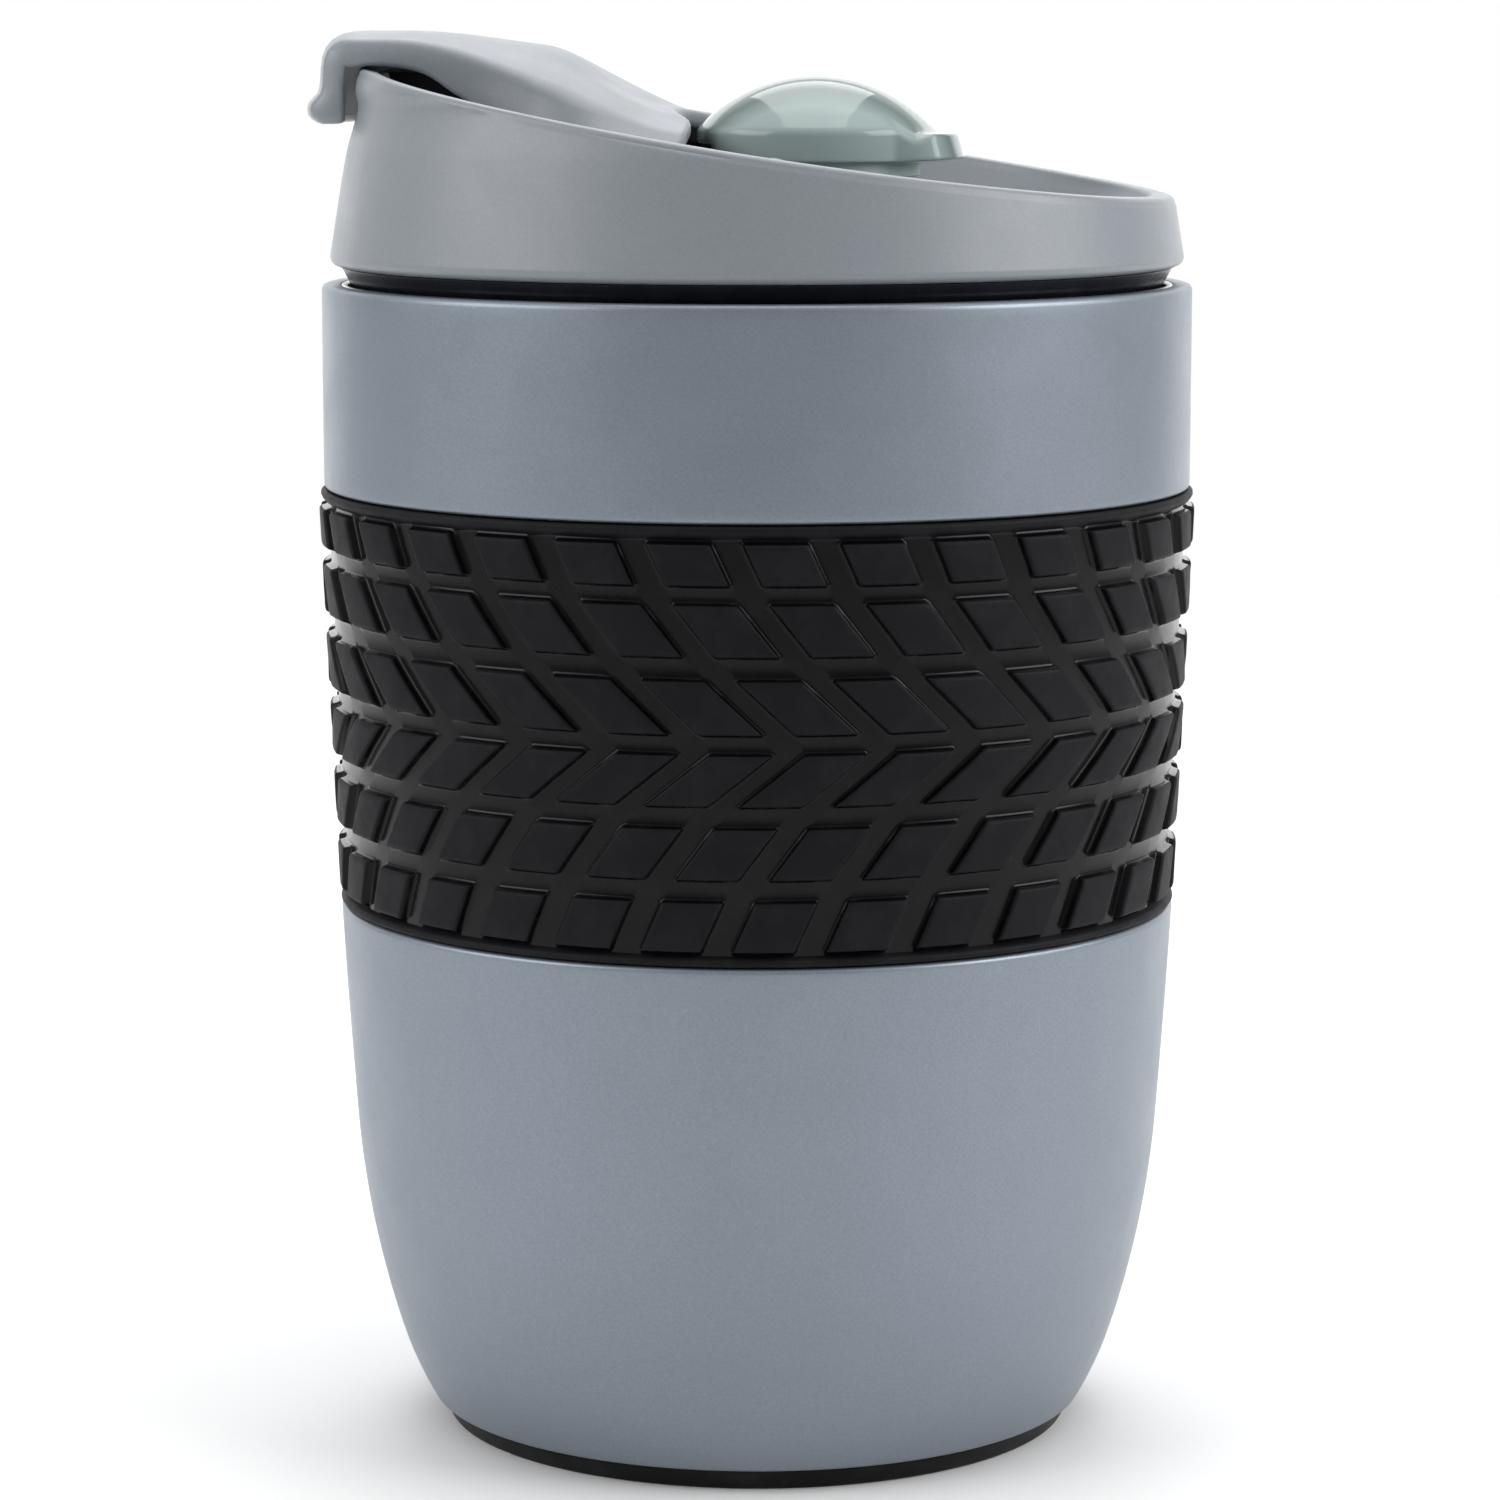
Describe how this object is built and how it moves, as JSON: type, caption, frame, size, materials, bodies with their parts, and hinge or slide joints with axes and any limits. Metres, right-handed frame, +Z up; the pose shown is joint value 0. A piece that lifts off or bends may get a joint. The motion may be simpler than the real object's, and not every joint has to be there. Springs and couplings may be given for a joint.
{
  "type": "insulated travel mug",
  "caption": "Double-wall steel travel mug with a silicone tread sleeve, push-in lid, hooked flip cap and clear dome lever.",
  "frame": {"origin": "centre of the base pad's lower face, on the table", "axes": "+Z up along the cup's axis; the drinking mouth and the cap's finger hook point along -X; the object is symmetric across the XZ plane"},
  "size_m": [0.0829, 0.0816, 0.1305],
  "materials": {
    "paint": "satin grey metallic paint",
    "steel": "brushed",
    "rubber": "matte black",
    "silicone": "matte black silicone",
    "lid_plastic": "satin grey moulded plastic",
    "plug_plastic": "matte grey moulded plastic",
    "smoke_clear": "glossy smoke-grey clear plastic"
  },
  "bodies": {
    "mug": {"outer_shell": "paint", "inner_liner": "steel", "shell_base": "steel", "vacuum_seal": "steel", "getter": "steel", "base_pad": "rubber", "grip_sleeve": "silicone"},
    "lid": {"lid_shell": "lid_plastic", "lid_plug": "plug_plastic", "seal_ring": "silicone", "hinge_pin": "steel", "lever_spring": "steel"},
    "cap": {"flip_cap": "lid_plastic", "cap_frame": "plug_plastic", "spout_plug": "silicone", "vent_plug": "silicone"},
    "lever": {"dome_lens": "smoke_clear", "dome_core": "plug_plastic"}
  },
  "joints": [
    {"name": "lid_lift", "type": "slide", "parent": "mug", "child": "lid", "axis": [0, 0, 1], "range_m": [0, 0.06]},
    {"name": "cap_flip", "type": "hinge", "parent": "lid", "child": "cap", "pos_m": [0.004, 0, 0.1168], "axis": [0, 1, 0], "range_deg": [0, 95]},
    {"name": "dome_press", "type": "hinge", "parent": "lid", "child": "lever", "pos_m": [0.004, 0, 0.1168], "axis": [0, 1, 0], "range_deg": [0, 8], "stiffness_Nm_per_rad": 0.3, "springref_deg": -5.73, "deforming": ["lever_spring"]}
  ]
}
